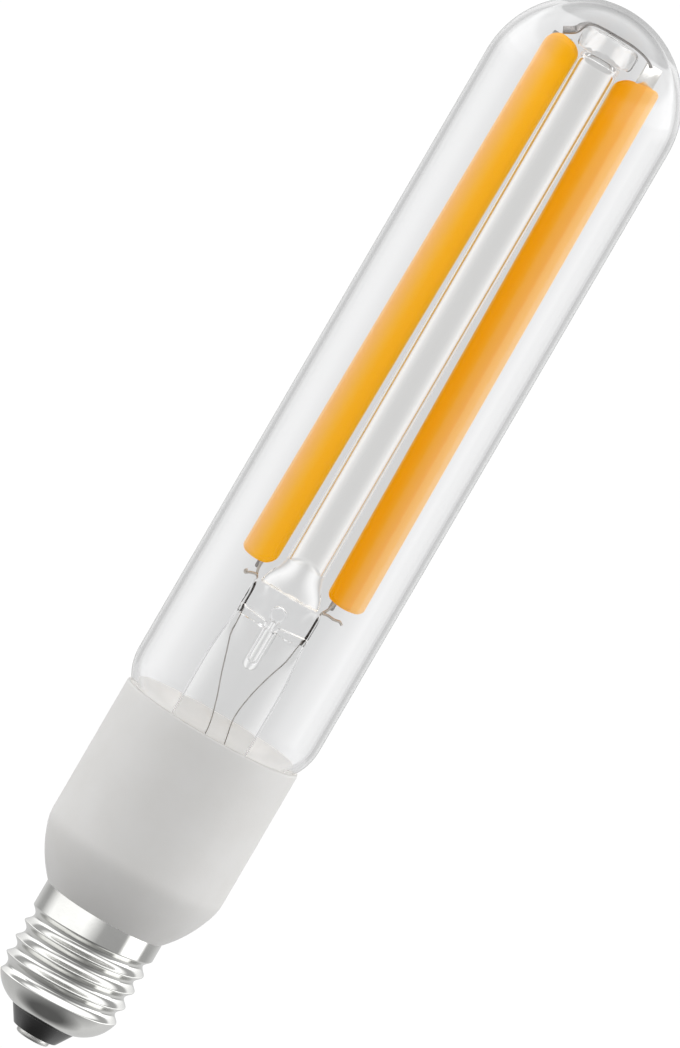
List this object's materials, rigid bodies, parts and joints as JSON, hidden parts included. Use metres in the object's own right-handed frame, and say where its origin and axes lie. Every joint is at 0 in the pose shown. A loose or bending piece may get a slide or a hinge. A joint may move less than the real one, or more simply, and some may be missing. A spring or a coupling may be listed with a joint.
{
  "type": "led filament bulb",
  "caption": "Tubular LED filament lamp: clear glass with long orange filaments on a glass stem, white driver housing with a round shoulder, nickel screw cap",
  "frame": {"origin": "centre of the contact disc's lower face, at the bottom of the screw cap", "axes": "+Z along the bulb's axis from the cap to the dome, +X towards the right filament as seen from -Y"},
  "size_m": [0.0414, 0.0414, 0.2364],
  "materials": {
    "clear_glass": "clear and glossy",
    "phosphor": "orange phosphor coat, satin",
    "bright_metal": "bright nickel strip",
    "dark_wire": "dark oxidised wire",
    "thin_wire": "drawn wire",
    "white_plastic": "matt white moulding",
    "silicone": "milky silicone",
    "nickel": "polished nickel plate",
    "black_glass": "glossy black",
    "solder": "tinned disc",
    "board": "green laminate",
    "can": "sleeved can",
    "film_block": "dipped red block",
    "ferrite": "dark ferrite",
    "copper": "enamelled copper",
    "chip_black": "moulded black",
    "fuse_body": "lacquered",
    "wire_black": "insulated wire",
    "wire_white": "insulated wire"
  },
  "bodies": {
    "root": {"glass_bulb": "clear_glass", "stem": "clear_glass", "support_column": "clear_glass", "filament_left": "phosphor", "filament_right": "phosphor", "top_tab_left": "bright_metal", "top_tab_right": "bright_metal", "bottom_tab_left": "bright_metal", "bottom_tab_right": "bright_metal", "top_strap": "bright_metal", "inner_lead_left": "dark_wire", "inner_lead_right": "dark_wire", "outer_lead_left": "thin_wire", "outer_lead_right": "thin_wire", "housing": "white_plastic", "adhesive_ring": "silicone", "screw_shell": "nickel", "insulator": "black_glass", "centre_contact": "solder", "circuit_board": "board", "electrolytic_capacitor": "can", "film_capacitor": "film_block", "choke_core": "ferrite", "choke_winding": "copper", "rectifier_bridge": "chip_black", "driver_chip": "chip_black", "fuse_resistor": "fuse_body", "contact_wire": "wire_black", "shell_wire": "wire_white"}
  },
  "joints": []
}
